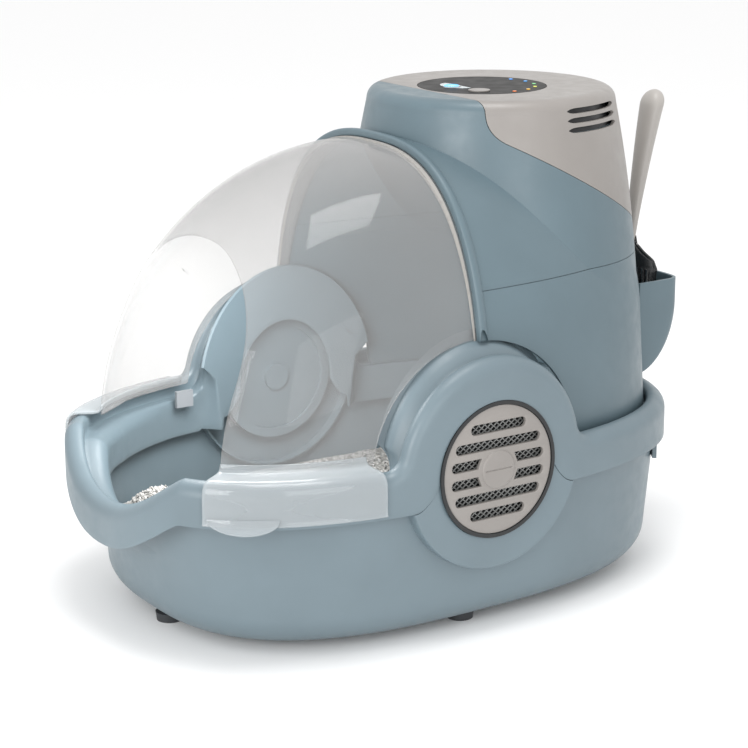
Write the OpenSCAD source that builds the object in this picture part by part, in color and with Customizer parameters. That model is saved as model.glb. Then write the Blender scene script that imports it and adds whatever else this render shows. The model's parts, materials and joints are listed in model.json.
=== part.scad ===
// Hooded litter box: a deep pan, a rolled rim frame with round side vents, a two-part hood
// with a fan tower, a swinging clear visor over the entry, and a scoop in a rear pocket.
// Shapes are drawn about the vent axis, which runs along X through both side vents, and are
// then set down on the floor by in_place(). Front (the entry) is -Y.

/* [Overall] */
// Full width of the rim band
band_w = 394; // [330:2:480]
// Full length of the rim band
band_l = 576; // [480:2:700]
// Height of the vent axis above the pan's underside
pan_depth = 146; // [120:1:180]
// Height of the hood's arch above the vent axis
arch_h = 266; // [225:1:320]
// Roundness of the rim outline, 2 is an ellipse
plan_power = 2.7; // [2.2:0.1:3.2]

/* [Walls and clearances] */
// Wall of the moulded shells
wall = 3; // [2.4:0.1:4]
// Wall of the visor
visor_wall = 2.5; // [1.8:0.1:3]
// Gap between parts that lift off or swing
gap = 1; // [0.6:0.1:1.5]
// Radial play of a turning pin
pin_play = 0.05; // [0.02:0.01:0.1]

/* [Rim frame] */
// Height of the rim band below the vent axis
band_drop = 26; // [20:1:34]
// Height of the rolled rim above the vent axis
band_rise = 12; // [9:1:16]
// How far the rim dips at the entry
dip = 42; // [20:1:50]
// Half width of the dip
dip_half = 105; // [80:1:130]

/* [Pan] */
// How far the pan stands in from the band at the sides
pan_inset = 9; // [8:1:14]
// How far the pan stands in from the band at the front
pan_inset_front = 32; // [20:1:40]
// How far the pan stands in from the band at the rear
pan_inset_rear = 9; // [8:1:14]
// Rounding between the pan's wall and its floor
pan_round = 30; // [18:1:40]
// Height of one foot
foot_h = 8; // [5:1:12]
// Radius of one foot
foot_r = 13; // [9:1:16]
// Depth of the litter bed
litter_h = 46; // [20:1:60]

/* [Side vents] */
// Radius of the vent's grille
grille_r = 58; // [50:1:66]
// Radius of the frame's arch round the vent
arch_r = 100; // [92:1:106]
// Radius of the pan's boss under the vent
boss_r = 90; // [80:1:96]

/* [Visor] */
// Half width of the entry opening
entry_half = 109; // [90:1:120]
// Height of the entry opening above the vent axis
entry_top = 193; // [160:1:205]

/* [Tower] */
// Distance from the vent axis back to the tower's centre
tower_y = 134.5; // [120:0.5:145]
// Radius of the tower's top edge
tower_r = 109.5; // [100:0.5:115]
// Height of the tower above the hood's arch
tower_rise = 36; // [30:1:50]
// Bore of the fan
fan_r = 42; // [36:1:46]

/* [Scoop pocket] */
// Half width of the pocket
pocket_half = 74; // [62:1:84]
// Height of the pocket's rim above the vent axis
pocket_z = 108; // [90:1:125]
// How far the pocket stands out behind the band
pocket_out = 28; // [20:1:40]

/* [Hidden] */

shell_blue = "#8295a0";
cap_taupe = "#b3aaa3";
black = "#17191a";
steel = "#b9bcc0";

half_w = band_w / 2;
half_l = band_l / 2;
axis_z = foot_h + pan_depth;
around = 72;
cut = 2000;

// The visor, the hood's inside and its outside are one family of domes about the vent axis.
hood_half = 172;
visor_half = hood_half - wall - gap;
visor_h = arch_h - wall - gap;
hood_stretch = 1.165;
arch_power = 2.7;
notch_r = arch_r + 8;
seam_z = 150;
seam_gap = 0.3;

vent_x = half_w - 0.3;
seat_x = half_w - 42.5;
hole_r = grille_r + 4;
pan_power = 2.37;
pan_taper = 0.078;
rim_under = band_drop - 16;
pan_half = half_w - pan_inset;
pan_front = half_l - pan_inset_front;
pan_rear = half_l - pan_inset_rear;
litter_top = litter_h - pan_depth + wall;

tower_top = arch_h + tower_rise;
deck_z = arch_h + 2;
deck_t = 3;
fan_h = 20;
fan_side = 2 * fan_r + 8;
fan_z = deck_z + deck_t;
cap_front = 61;
cap_slope = 0.534;
cap_low = tower_top - 32;
panel_r = 60;
panel_y = 124;
inlet_x = -24;

// Each button as [x, y, radius], from the panel's middle.
button_places = [[-7, -30, 8], [28, -24, 10]];
pocket_y = half_l + pocket_out;
pocket_back = 262;
latch_angle = 52;
scoop_x = 12;
scoop_y = pocket_y - 15;
scoop_z = pocket_z - 48;
handle_z = pocket_z + 26;
handle_lean = 26;
handle_tip = 14;
handle_flat = 0.7;
lip_h = 3.3;
trim_gap = 0.15;
lug_h = 12;
screw_r = 1.9;

// The part stands with its bounding box centred over the origin.
rear_reach = scoop_y + handle_lean + handle_flat * handle_tip;
origin_y = (half_l - rear_reach) / 2;

// ---- curves ---------------------------------------------------------------------------

// A power curve: |x/a|^n + |y/b|^n = 1, with its own b in front and behind.
function power_point(a, front, rear, n, t) =
    let (c = cos(t), s = sin(t), b = s > 0 ? rear : front)
    [a * sign(c) * pow(abs(c), 2 / n), b * sign(s) * pow(abs(s), 2 / n)];

// How far the rim hangs at the entry: full in the middle of the front, nothing past dip_half.
function dip_at(p) =
    let (u = min(1, abs(p[0]) / dip_half))
    p[1] < 0 ? dip * pow(1 - pow(u, 2.2), 1.2) : 0;

// One ring of a loft, as [half width, front, rear, z, power, dips].
function ring(r) = [for (i = [0:around - 1])
    let (p = power_point(r[0], r[1], r[2], r[4], 360 * i / around))
    [p[0], p[1], r[3] - r[5] * dip_at(p)]];

function inset_ring(d, z, dips) = [half_w - d, half_l - d, half_l - d, z, plan_power, dips];

function pan_ring(d, z, dips) = [pan_half - d, pan_front - d, pan_rear - d, z, pan_power, dips];

// The faces between neighbouring rings; a closed loft joins its last ring to its first.
function skin(rings, closed) = [for (k = [0:rings - (closed ? 1 : 2)], i = [0:around - 1])
    let (a = k * around, b = ((k + 1) % rings) * around, j = (i + 1) % around)
    [a + i, b + i, b + j, a + j]];

module loft(levels, closed = false) {
    count = len(levels);
    ends = closed ? [] : [[for (i = [0:around - 1]) i],
        [for (i = [around - 1:-1:0]) (count - 1) * around + i]];
    polyhedron([for (r = levels) each ring(r)], concat(skin(count, closed), ends), convexity = 6);
}

// A free-form shell is kept as one mesh.
module smooth_shell() {
    resize([0, 0, 0]) children();
}

module in_place() {
    translate([0, origin_y, axis_z]) children();
}

module both_sides() {
    children();
    mirror([1, 0, 0]) children();
}

// Turns a shape drawn along +Z so that it lies along +X, for the vents.
module along_x(x = 0) {
    translate([x, 0, 0]) rotate([0, 90, 0]) children();
}

module disc_x(r, x, t) {
    along_x(x) cylinder(r = r, h = t, $fn = 96);
}

module ring_x(r_out, r_in, x, t) {
    along_x(x) difference() {
        cylinder(r = r_out, h = t, $fn = 96);
        translate([0, 0, -1]) cylinder(r = r_in, h = t + 2, $fn = 96);
    }
}

module below(z) {
    translate([-cut / 2, -cut / 2, z - cut]) cube([cut, cut, cut]);
}

module above(z) {
    translate([-cut / 2, -cut / 2, z]) cube([cut, cut, cut]);
}

module behind(y) {
    translate([-cut / 2, y, -cut / 2]) cube([cut, cut, cut]);
}

// ---- the dome, the tower and the hood's outline ---------------------------------------

// Radius of a dome about the vent axis at a distance x from the middle.
function dome_r(half, h, x) = h * pow(max(0, 1 - pow(abs(x) / half, arch_power)), 1 / arch_power);

function dome_outline(half, h) = let (steps = 20)
    [for (i = [0:steps]) let (x = half * sin(90 * (2 * i / steps - 1))) [dome_r(half, h, x), x]];

// A dome from angle a0 to a1, counted from straight up towards the entry.
module dome(half, h, a0, a1) {
    rotate([0, 90, 0])
        rotate([0, 0, 180 + a0])
            rotate_extrude(angle = a1 - a0, $fn = 64)
                polygon(dome_outline(half, h));
}

module dome_shell(half, h, t, a0, a1) {
    rotate([0, 90, 0])
        rotate([0, 0, 180 + a0])
            rotate_extrude(angle = a1 - a0, $fn = 64)
                difference() {
                    polygon(dome_outline(half, h));
                    polygon(dome_outline(half - t, h - t));
                    translate([-1, -cut / 2]) square([2, cut]);
                }
}

// The tower flares downwards in four steps from its rounded shoulder.
module tower(d) {
    top = tower_top - (d > 0 ? d : 0);
    translate([0, tower_y, 0])
        rotate_extrude($fn = 72)
            polygon([[0, -60], [tower_r + 45 - d, -60], [tower_r + 45 - d, 0],
                [tower_r + 43 - d, 60], [tower_r + 30 - d, 160], [tower_r + 9 - d, tower_top - 22],
                [tower_r + 3 - d, tower_top - 11], [tower_r - 3 - d, top - 2], [tower_r - 9 - d, top],
                [0, top]]);
}

module hood_plan(d) {
    loft([for (z = [-60, 60, 160, tower_top + 20])
        let (k = 17.5 + d + 0.06 * max(0, z))
        [half_w - k - 3, half_l - k, half_l - k, z, plan_power, 0]]);
}

// The hood as a solid, d inside its outer face.
module hood_solid(d) {
    intersection() {
        union() {
            scale([1, hood_stretch, 1]) dome(hood_half - d, arch_h - d, -180, 0);
            tower(d);
        }
        hood_plan(d);
    }
}

// The hood's wall, open below and in front, with the lugs that join its halves.
module hood_wall() {
    seam_lugs();
    difference() {
        intersection() {
            hood_solid(0);
            behind(0);
        }
        hood_solid(wall);
        along_x(-cut / 2) cylinder(r = notch_r, h = cut, $fn = 96);
        below(-2);
    }
}

// What belongs to the top cap: behind a line across the top and above a slope.
module cap_zone(d) {
    rotate([90, 0, 90])
        linear_extrude(cut, center = true)
            polygon([[cap_front + d, cut / 2], [cap_front + d, cap_low + d + 8],
                [cap_front + 2 + d, cap_low + d + 2], [cap_front + 7 + d, cap_low - 3 + d],
                [cap_front + 300, cap_low - 3 - 293 * cap_slope + d],
                [cap_front + 300, cut / 2]]);
}

// ---- pan ------------------------------------------------------------------------------

module pan_solid(d, floor_z, top) {
    round_r = pan_round - d;
    straight = floor_z + round_r;
    corner = [for (a = [90:-15:0])
        let (z = straight - round_r * sin(a))
        pan_ring(d + pan_taper * (-band_drop - z) + round_r * (1 - cos(a)), z, 0)];
    loft(concat(corner, [pan_ring(d, -band_drop, 0.55), pan_ring(d, top, 1)]));
}

module pan() {
    color(shell_blue) smooth_shell() difference() {
        union() {
            difference() {
                pan_solid(0, -pan_depth, -rim_under);
                along_x(-cut / 2) intersection() {
                    cylinder(r = arch_r + 2, h = cut, $fn = 96);
                    translate([-cut, -cut / 2, 0]) cube([cut + band_drop + 0.4, cut, cut]);
                }
            }
            both_sides() difference() {
                disc_x(boss_r, pan_half - 19, vent_x - 2 - pan_half + 19);
                above(-band_drop - 0.4);
            }
        }
        pan_solid(wall, wall - pan_depth, band_rise);
        both_sides() disc_x(hole_r, pan_half - 60, 200);
    }
}

module feet() {
    color(black)
        for (p = [[0, 36 - pan_front], [0, pan_rear - 36], [pan_half - 46, 0], [46 - pan_half, 0]])
            translate([p[0], p[1], -pan_depth - foot_h])
                cylinder(r1 = foot_r - 1, r2 = foot_r, h = foot_h, $fn = 48);
}

module litter_bed() {
    color("#d9d3c4") smooth_shell() intersection() {
        pan_solid(wall + 0.2, wall + 0.2 - pan_depth, band_rise);
        below(litter_top);
    }
}

// ---- rim frame ------------------------------------------------------------------------

module rim_frame() {
    color(shell_blue) smooth_shell() difference() {
        union() {
            loft([inset_ring(0, -band_drop, 1), inset_ring(0, band_rise - 9, 1),
                inset_ring(2.5, band_rise - 3, 1), inset_ring(8, band_rise, 1),
                inset_ring(14, band_rise - 1, 1), inset_ring(16, band_rise - 8, 1),
                inset_ring(16.5, -2.5, 1),
                [half_w - 27, half_l - 42, half_l - 30, -2.5, pan_power + 0.2, 1],
                [half_w - 27, half_l - 42, half_l - 30, -40, pan_power + 0.2, 0.6],
                [half_w - 24, half_l - 39, half_l - 27, -40, pan_power + 0.2, 0.6],
                [half_w - 24, half_l - 39, half_l - 27, -2.5 - wall, pan_power + 0.2, 1],
                inset_ring(wall, -2.5 - wall, 1), inset_ring(wall, -band_drop, 1)], closed = true);
            both_sides() difference() {
                union() {
                    disc_x(arch_r, seat_x, half_w - seat_x);
                    disc_x(notch_r + 4, seat_x, wall);
                }
                ring_x(arch_r - wall, hole_r + wall, seat_x + wall, half_w - seat_x - 2 * wall);
                below(-band_drop);
            }
        }
        both_sides() disc_x(hole_r, half_w - 60, 200);
    }
}

// ---- side vents -----------------------------------------------------------------------

module vent_housing() {
    color(shell_blue) {
        ring_x(hole_r - 0.3, grille_r + 0.35, vent_x - 27, 26);
        ring_x(grille_r + 0.5, grille_r - 5, vent_x - 27, 3);
    }
}

module vent_inner_cover() {
    color(shell_blue) {
        disc_x(grille_r - 0.2, vent_x - 23.5, 2.5);
        disc_x(13, vent_x - 27, 4);
    }
}

module vent_filter() {
    color("#2b2d2e") disc_x(grille_r - 1, vent_x - 20.5, 10);
}

module vent_mesh() {
    color(black) disc_x(grille_r - 2, vent_x - 9.5, 1);
}

module vent_gasket() {
    color(black) ring_x(hole_r - 0.3, grille_r + 0.35, vent_x - 0.8, 1.6);
}

// One row of grille slots with round ends, z above the middle.
module slot_row(z, y0, y1) {
    half_slot = 4.5;
    for (s = [-1, 1])
        translate([vent_x - 12, 0, 0]) {
            translate([0, s * y0, z - half_slot]) mirror([0, s < 0 ? 1 : 0, 0])
                cube([20, y1 - y0, 2 * half_slot]);
            translate([0, s * y1, z]) rotate([0, 90, 0]) cylinder(r = half_slot, h = 20, $fn = 24);
        }
}

module vent_cover() {
    color(cap_taupe) difference() {
        union() {
            disc_x(grille_r, vent_x - 8, 3);
            ring_x(grille_r, grille_r - 6, vent_x - 8, 7.5);
            disc_x(grille_r - 0.5, vent_x - 3.5, 3);
        }
        slot_row(39, 0, 25);
        slot_row(-39, 0, 25);
        slot_row(23.5, 0, 42);
        slot_row(-23.5, 0, 42);
        slot_row(8, 22, 44);
        slot_row(-8, 22, 44);
    }
    color(cap_taupe) along_x(vent_x - 6) cylinder(r = 20, h = 8, $fn = 48);
}

// ---- hood -----------------------------------------------------------------------------

module hood_lower() {
    color(shell_blue) smooth_shell() intersection() {
        union() hood_wall();
        below(seam_z - seam_gap);
    }
}

module hood_upper() {
    color(shell_blue) smooth_shell() difference() {
        intersection() {
            union() hood_wall();
            above(seam_z);
        }
        cap_zone(-seam_gap);
    }
}

// The raised lip along the hood's front edge.
module hood_trim() {
    color(shell_blue) smooth_shell() difference() {
        dome_shell(hood_half + lip_h, arch_h + lip_h, lip_h - trim_gap, -2.2, 0);
        below(notch_r);
    }
}

module hood_screws() {
    color(steel) at_lugs(seam_z - lug_h + 2) cylinder(r = screw_r, h = 2 * lug_h - 4, $fn = 24);
}

// The hood's two halves are screwed together through lugs on the rear wall.
module at_lugs(z) {
    for (x = [-85, 0, 85])
        translate([x, half_l - (x == 0 ? 34 : 53), z]) children();
}

module seam_lugs() {
    intersection() {
        difference() {
            at_lugs(seam_z - lug_h) cylinder(r = 7, h = 2 * lug_h, $fn = 32);
            at_lugs(seam_z - cut / 2) cylinder(r = screw_r + 0.1, h = cut, $fn = 32);
        }
        hood_solid(0.5);
    }
}

// ---- visor ----------------------------------------------------------------------------

module entry_arch() {
    steps = 24;
    mid = entry_top - 114;
    rotate([90, 0, 0])
        linear_extrude(cut)
            polygon(concat([[entry_half, -60]],
                [for (i = [0:steps])
                    let (p = power_point(entry_half, 114, 114, 2.3, 180 * i / steps))
                    [p[0], p[1] + mid]],
                [[-entry_half, -60]]));
}

module plan_slab(d, z, t) {
    translate([0, 0, z])
        linear_extrude(t)
            polygon([for (i = [0:around - 1])
                power_point(half_w - d, half_l - d, half_l - d, plan_power, 360 * i / around)]);
}

// The skirt that lies over the rim on each side of the entry.
module visor_skirt() {
    intersection() {
        difference() {
            union() {
                plan_slab(-2.8, band_rise + 0.5, visor_wall);
                plan_slab(-2.8, 4 - band_drop, band_rise + band_drop - 3);
            }
            plan_slab(-0.4, 3 - band_drop, band_rise + band_drop - 2.5);
            dome(visor_half - visor_wall, visor_h - visor_wall, -10, 120);
        }
        both_sides() translate([entry_half - 3, -250, -60]) cube([band_w, 142, 120]);
    }
}

module visor() {
    color("#dfe6ea", 0.35) smooth_shell() union() {
        difference() {
            dome_shell(visor_half, visor_h, visor_wall, -4, 90);
            along_x(-cut / 2) cylinder(r = notch_r, h = cut, $fn = 96);
            entry_arch();
            below(band_rise + 0.5);
        }
        visor_skirt();
    }
}

// Catches on the seat behind the arch, under the visor's rear lower corners.
module visor_clips() {
    color("#9aa0a4") both_sides()
        translate([seat_x - 4, -125, -8]) cube([4, 18, band_rise + 4]);
}

// ---- fan, filter and deck -------------------------------------------------------------

module fan_place(z) {
    translate([0, tower_y, z]) children();
}

module fan_deck() {
    color(shell_blue) fan_place(deck_z) difference() {
        cylinder(r = tower_r + 9 - wall - 0.5, h = deck_t, $fn = 96);
        translate([0, 0, -1]) cylinder(r = fan_r, h = deck_t + 2, $fn = 96);
        translate([inlet_x - 8, tower_r - 8, -1]) cube([16, 40, deck_t + 2]);
    }
}

module top_filter() {
    color("#2b2d2e") fan_place(deck_z - 7) cylinder(r = fan_r + 2, h = 7, $fn = 96);
}

module filter_grille() {
    color(shell_blue) fan_place(deck_z - 9.5) difference() {
        cylinder(r = fan_r + 4, h = 2.5, $fn = 96);
        for (x = [-32:16:32]) translate([x - 4, -30, -1]) cube([8, 60, 5]);
    }
}

module fan_frame() {
    color(black) fan_place(fan_z) difference() {
        translate([-fan_side / 2, -fan_side / 2, 0]) cube([fan_side, fan_side, fan_h]);
        translate([0, 0, -1]) cylinder(r = fan_r, h = fan_h + 2, $fn = 96);
        for (x = [-1, 1], y = [-1, 1])
            translate([x * (fan_side / 2 - 4.5), y * (fan_side / 2 - 4.5), -1])
                cylinder(r = 2, h = fan_h + 2, $fn = 24);
    }
}

module fan_motor() {
    color(black) fan_place(fan_z) {
        cylinder(r = 14, h = 3, $fn = 48);
        cylinder(r = 3, h = 14, $fn = 32);
        for (a = [45:90:315])
            rotate([0, 0, a]) translate([12, -1.5, 0]) cube([fan_r - 12, 3, 2.5]);
    }
}

module fan_rotor() {
    color("#3a3d40") fan_place(fan_z + 4) {
        difference() {
            cylinder(r = 16, h = 14, $fn = 48);
            translate([0, 0, -1]) cylinder(r = 3 + pin_play, h = 12, $fn = 32);
        }
        for (a = [0:360 / 7:359])
            rotate([0, 0, a]) translate([14, 0, 7]) rotate([35, 0, 0])
                translate([0, -8, -0.8]) cube([fan_r - 17, 16, 1.6]);
    }
}

module fan_screws() {
    color(steel) fan_place(fan_z)
        for (x = [-1, 1], y = [-1, 1])
            translate([x * (fan_side / 2 - 4.5), y * (fan_side / 2 - 4.5), 0]) {
                cylinder(r = 1.9, h = fan_h, $fn = 24);
                translate([0, 0, fan_h]) cylinder(r = 3.5, h = 2, $fn = 24);
            }
}

// ---- cap and controls -----------------------------------------------------------------

// Rows of slits on each side of the tower, as thin wedges cut from the wall.
module slit_rows() {
    for (k = [0:2])
        translate([0, tower_y, tower_top - 13.8 - 8.5 * k])
            both_sides()
                rotate([0, 0, -2])
                    rotate_extrude(angle = 39, $fn = 72)
                        translate([tower_r - 12, 0]) square([40, 5]);
}

module top_cap() {
    color(cap_taupe) smooth_shell() intersection() {
        difference() {
            hood_solid(0);
            hood_solid(wall);
            slit_rows();
            translate([0, panel_y, tower_top - 9]) cylinder(r = panel_r + 0.3, h = 40, $fn = 96);
            translate([inlet_x, tower_y + tower_r + 4, tower_top - 50]) rotate([90, 0, 0])
                cylinder(r = 6.3, h = 60, center = true, $fn = 48);
        }
        cap_zone(0);
    }
}

module cap_mesh() {
    color(black) fan_place(tower_top - 31)
        both_sides()
            rotate([0, 0, -4])
                rotate_extrude(angle = 43, $fn = 96)
                    polygon([[tower_r + 3.5, 0], [tower_r + 4.5, 0], [tower_r - 1.7, 21],
                        [tower_r - 2.7, 21]]);
}

module control_panel() {
    color(black) translate([0, panel_y, tower_top - wall]) difference() {
        cylinder(r = panel_r, h = wall, $fn = 96);
        for (p = button_places)
            translate([p[0], p[1], -1]) cylinder(r = p[2] + 0.3, h = wall + 2, $fn = 48);
    }
}

module push_button(p) {
    translate([p[0], panel_y + p[1], tower_top - wall - 2]) {
        cylinder(r = p[2], h = wall + 3, $fn = 48);
        cylinder(r = p[2] + 2, h = 1.6, $fn = 48);
    }
}

module power_button() {
    color("#d8dde0") push_button(button_places[0]);
}

module mode_button() {
    color(cap_taupe) push_button(button_places[1]);
}

module indicator_lights() {
    color("#3f8fd0")
        for (a = [0:22:110])
            translate([0, panel_y, tower_top]) rotate([0, 0, a])
                translate([panel_r - 10, 0, 0]) cylinder(r = 1.8, h = 0.5, $fn = 24);
}

module circuit_board() {
    color("#1f5a3a") translate([-40, panel_y - 44, tower_top - wall - 5]) cube([80, 40, 1.6]);
}

module power_inlet() {
    color(black) translate([inlet_x, tower_y + tower_r + 10, tower_top - 50]) rotate([90, 0, 0])
        difference() {
            cylinder(r = 6, h = 16, $fn = 48);
            translate([0, 0, -1]) cylinder(r = 2.8, h = 12, $fn = 48);
        }
}

// ---- scoop and its pocket -------------------------------------------------------------

// The pocket's section in depth and height: a straight rim and a rounded belly.
function pocket_section(d) = let (deep = pocket_y - pocket_back - d, low = 66 - d)
    concat([[pocket_back, pocket_z + (d > 0 ? 40 : 0)],
        [pocket_back, pocket_z - 24 - low]],
        [for (a = [-84:12:0]) [pocket_back + deep * cos(a), pocket_z - 24 + low * sin(a)]],
        [[pocket_back + deep - 2, pocket_z + (d > 0 ? 40 : 0)]]);

module pocket_body(d) {
    rotate([90, 0, 90])
        linear_extrude(2 * (pocket_half - d), center = true)
            polygon(pocket_section(d));
}

module pocket_plan(d) {
    translate([0, pocket_back, -50])
        linear_extrude(300)
            polygon(concat([[-pocket_half + d, -40], [pocket_half - d, -40]],
                [for (i = [0:24])
                    power_point(pocket_half - d, 1, pocket_y - pocket_back - d, 9, 180 * i / 24)]));
}

module scoop_holder() {
    color(shell_blue) smooth_shell() difference() {
        intersection() {
            pocket_body(0);
            pocket_plan(0);
        }
        intersection() {
            pocket_body(wall);
            pocket_plan(wall);
            behind(pocket_back + wall + 1);
        }
        hood_solid(-0.3);
    }
}

module holder_screws() {
    color(steel)
        for (x = [-40, 40])
            translate([x, pocket_back - 12, pocket_z - 12]) rotate([-90, 0, 0])
                cylinder(r = 2, h = 16, $fn = 24);
}

module scoop_head() {
    color("#3c3d3f") translate([scoop_x, scoop_y, 0]) difference() {
        translate([0, 0, scoop_z])
            rotate([90, 0, 0])
                linear_extrude(12, center = true)
                    polygon([[-38, 6], [-32, 0], [32, 0], [38, 6], [43, 54], [37, 64],
                        [7, handle_z - scoop_z], [-7, handle_z - scoop_z], [-37, 64], [-43, 54]]);
        translate([-35, -8, scoop_z + 3]) cube([70, 11, 54]);
        for (x = [-28:8:28]) translate([x - 2, -10, scoop_z + 6]) cube([4, 20, 44]);
    }
}

module scoop_handle() {
    color(cap_taupe) smooth_shell()
        for (k = [0:5]) hull() {
            handle_slice(k / 6);
            handle_slice((k + 1) / 6);
        }
}

// A slice of the handle: it leans back and grows wider towards its tip.
module handle_slice(u) {
    translate([scoop_x, scoop_y + handle_lean * u * u + 4 * sin(180 * u), handle_z + 0.3 + 148 * u])
        scale([1, handle_flat, 1]) cylinder(r = handle_tip - 9 * (1 - u), h = 2, $fn = 24);
}

// ---- rear latches ---------------------------------------------------------------------

module at_latch() {
    p = power_point(half_w - 8, half_l - 8, half_l - 8, plan_power, latch_angle);
    translate([p[0], p[1], -band_drop + 1]) rotate([0, 0, 56]) children();
}

module latch() {
    color(shell_blue) at_latch() {
        translate([-2, -9, -20]) cube([4, 18, 20]);
        rotate([90, 0, 0]) cylinder(r = 2.6, h = 18, center = true, $fn = 32);
    }
}

in_place() pan();
in_place() feet();
in_place() litter_bed();
in_place() rim_frame();
in_place() vent_housing();  // vent_housing_right
in_place() mirror([1, 0, 0]) vent_housing();  // vent_housing_left
in_place() vent_inner_cover();  // vent_inner_cover_right
in_place() mirror([1, 0, 0]) vent_inner_cover();  // vent_inner_cover_left
in_place() vent_filter();  // vent_filter_right
in_place() mirror([1, 0, 0]) vent_filter();  // vent_filter_left
in_place() vent_mesh();  // vent_mesh_right
in_place() mirror([1, 0, 0]) vent_mesh();  // vent_mesh_left
in_place() vent_gasket();  // vent_gasket_right
in_place() mirror([1, 0, 0]) vent_gasket();  // vent_gasket_left
in_place() vent_cover();  // vent_cover_right
in_place() mirror([1, 0, 0]) vent_cover();  // vent_cover_left
in_place() hood_lower();
in_place() hood_upper();
in_place() hood_trim();
in_place() hood_screws();
in_place() visor();
in_place() visor_clips();
in_place() fan_deck();
in_place() top_filter();
in_place() filter_grille();
in_place() fan_frame();
in_place() fan_motor();
in_place() fan_rotor();
in_place() fan_screws();
in_place() top_cap();
in_place() cap_mesh();
in_place() control_panel();
in_place() circuit_board();
in_place() indicator_lights();
in_place() power_button();
in_place() mode_button();
in_place() power_inlet();
in_place() scoop_holder();
in_place() holder_screws();
in_place() scoop_handle();
in_place() scoop_head();
in_place() latch();  // latch_right
in_place() mirror([1, 0, 0]) latch();  // latch_left
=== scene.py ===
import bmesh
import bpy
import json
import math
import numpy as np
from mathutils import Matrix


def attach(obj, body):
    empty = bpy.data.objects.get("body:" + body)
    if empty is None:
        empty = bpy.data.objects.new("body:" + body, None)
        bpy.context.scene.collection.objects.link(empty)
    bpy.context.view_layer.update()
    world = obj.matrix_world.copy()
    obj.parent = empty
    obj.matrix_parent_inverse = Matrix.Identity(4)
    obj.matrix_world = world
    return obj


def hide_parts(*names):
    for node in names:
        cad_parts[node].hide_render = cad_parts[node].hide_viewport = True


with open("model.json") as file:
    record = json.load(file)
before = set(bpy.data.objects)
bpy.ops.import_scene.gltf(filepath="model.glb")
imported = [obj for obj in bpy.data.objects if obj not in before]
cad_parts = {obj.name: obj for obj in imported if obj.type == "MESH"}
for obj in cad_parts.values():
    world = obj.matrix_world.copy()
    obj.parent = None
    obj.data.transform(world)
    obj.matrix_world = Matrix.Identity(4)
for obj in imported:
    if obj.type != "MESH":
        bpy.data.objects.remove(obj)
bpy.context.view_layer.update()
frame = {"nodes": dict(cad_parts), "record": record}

# %% [markdown]
# A hooded cat litter box, surfaced around its CAD frame.
# The real object is seven big thin-walled mouldings and many small ones. The frame gives every
# piece its place and the way it moves. Here each shell is worked out again as a smooth
# mathematical surface, because a fine grid of points takes light far better than the frame's
# coarse facets do, and it still fits the same joints.

hinge = next(j for j in frame["record"]["behaviour"]["joints"] if j["name"] == "visor_swing")
axis_point = np.array(hinge["pos_m"])
MM = 0.001
print("the visor turns about", axis_point)

# %% [markdown]
# The camera comes first, so that everything later is judged from the same place. It stands in
# front of the box's right side, a little above it, with a long lens that keeps sides parallel.

# %% Camera
camera_data = bpy.data.cameras.new("camera")
camera_data.sensor_width = 36
camera_data.lens = 106.95
camera = bpy.data.objects.new("camera", camera_data)
camera.location = axis_point + np.array([1661.1, -1119.7, 587.5]) * MM
camera.rotation_euler = (math.radians(90 - 15.25), 0, math.radians(55.96))
bpy.context.scene.collection.objects.link(camera)
bpy.context.scene.camera = camera

# %% [markdown]
# A moulded part never has one flat colour. Its skin is faintly uneven, duller where it was
# handled, with a very fine texture from the mould. The three noises below are shared by
# every plastic here: a wide one for colour, a middle one for gloss, a fine one for relief.
# They read Object coordinates, so they stay put when a piece moves.

# %% Node helpers
def new_material(name):
    """An empty node material with its Principled shader."""
    made = bpy.data.materials.new(name)
    made.use_nodes = True
    return made, made.node_tree.nodes, made.node_tree.links, \
        made.node_tree.nodes["Principled BSDF"]


def noise(nodes, links, scale, detail=3.0):
    """Noise over the object's own coordinates, in cycles per metre."""
    where = nodes.new("ShaderNodeTexCoord")
    texture = nodes.new("ShaderNodeTexNoise")
    texture.inputs["Scale"].default_value = scale
    texture.inputs["Detail"].default_value = detail
    links.new(where.outputs["Object"], texture.inputs["Vector"])
    return texture.outputs["Fac"]


def ramp(nodes, links, source, stops):
    """Turns a value into a colour through (position, colour) stops."""
    node = nodes.new("ShaderNodeValToRGB")
    band = node.color_ramp
    while len(band.elements) < len(stops):
        band.elements.new(0.5)
    for element, (place, colour) in zip(band.elements, stops):
        element.position = place
        element.color = (*colour, 1)
    links.new(source, node.inputs["Fac"])
    return node.outputs["Color"]


def spread(nodes, links, source, low, high):
    """Maps a noise, which keeps near its middle, to the range low to high."""
    node = nodes.new("ShaderNodeMapRange")
    node.inputs["From Min"].default_value = 0.3
    node.inputs["From Max"].default_value = 0.7
    node.inputs["To Min"].default_value = low
    node.inputs["To Max"].default_value = high
    links.new(source, node.inputs["Value"])
    return node.outputs["Result"]


def relief(nodes, links, shader, source, height, strength):
    """Fine relief on a shader's normal, its height in metres."""
    bump = nodes.new("ShaderNodeBump")
    bump.inputs["Strength"].default_value = strength
    bump.inputs["Distance"].default_value = height
    links.new(source, bump.inputs["Height"])
    links.new(bump.outputs["Normal"], shader.inputs["Normal"])


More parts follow.
